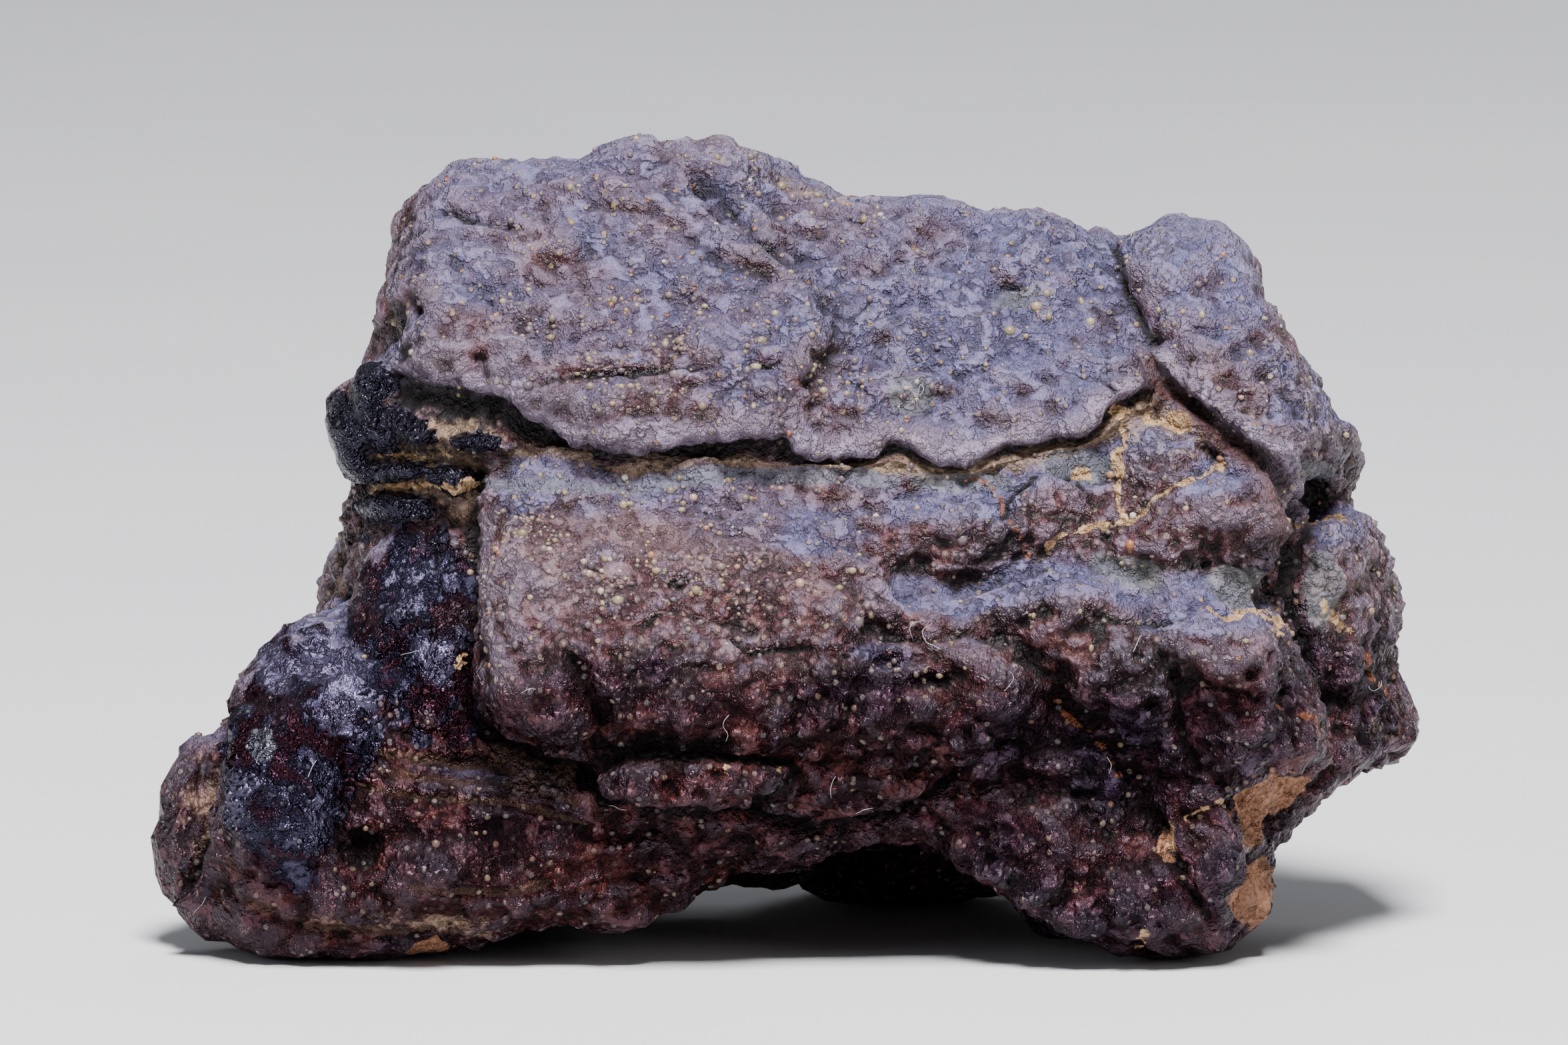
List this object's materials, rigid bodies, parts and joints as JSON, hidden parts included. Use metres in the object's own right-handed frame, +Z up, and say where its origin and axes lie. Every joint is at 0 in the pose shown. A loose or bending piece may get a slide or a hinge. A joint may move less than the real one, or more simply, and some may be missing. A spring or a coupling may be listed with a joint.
{
  "type": "mesosiderite meteorite",
  "caption": "Small weathered stony-iron meteorite: a blocky stone with a sloping slab on top, a deep ledge under it and blunt feet round a low arch.",
  "frame": {"origin": "middle of the stone's footprint, on the plane that its feet stand on", "axes": "+X along the stone's longest extent, to the right as seen from its front; +Y towards its back; +Z up"},
  "size_m": [0.0312, 0.0164, 0.0199],
  "materials": {
    "weathered_stone": "weathered, pitted and satin, with a faint metallic sheen"
  },
  "bodies": {
    "root": {"meteorite": "weathered_stone"}
  },
  "joints": []
}
